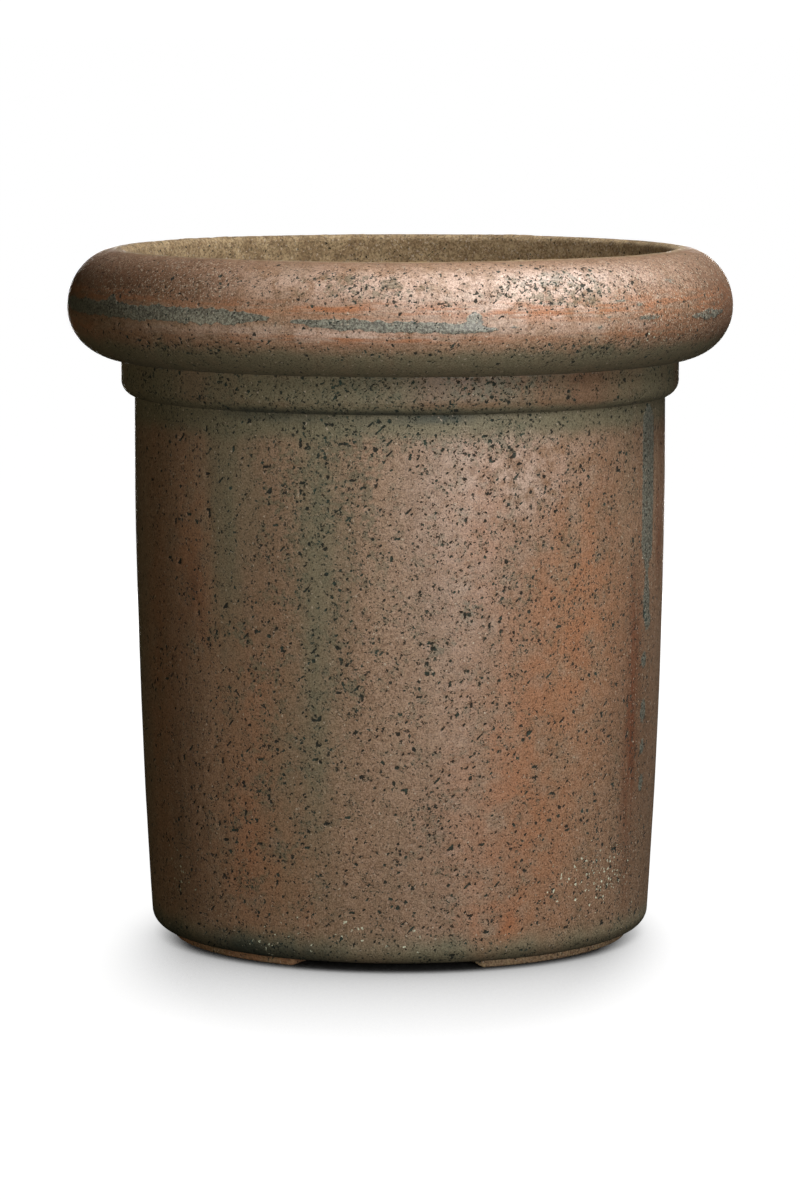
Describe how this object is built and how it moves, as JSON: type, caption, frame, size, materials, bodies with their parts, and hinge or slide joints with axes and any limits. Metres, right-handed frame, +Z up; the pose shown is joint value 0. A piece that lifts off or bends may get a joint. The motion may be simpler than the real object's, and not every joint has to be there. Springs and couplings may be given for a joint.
{
  "type": "terracotta planter",
  "caption": "Round, slightly tapered fired-clay planter with a thick rolled rim, a collar band under it, a drained floor and curved feet.",
  "frame": {"origin": "on the ground, on the pot's axis", "axes": "+Z up along the pot's axis; -Y is the front, where one drainage gap between the feet opens"},
  "size_m": [0.4997, 0.4998, 0.517],
  "materials": {
    "fired_clay": "satin terracotta, pitted, with grey-green ash glaze streaks",
    "inner_clay": "matt sandy terracotta",
    "foot_clay": "bare wiped clay"
  },
  "bodies": {
    "root": {"body_wall": "fired_clay", "collar_band": "fired_clay", "rim_roll": "fired_clay", "neck_ring": "inner_clay", "floor_slab": "inner_clay", "corner_coil": "inner_clay", "foot_pad_left": "foot_clay", "foot_pad_right": "foot_clay", "foot_pad_rear": "foot_clay"}
  },
  "joints": []
}
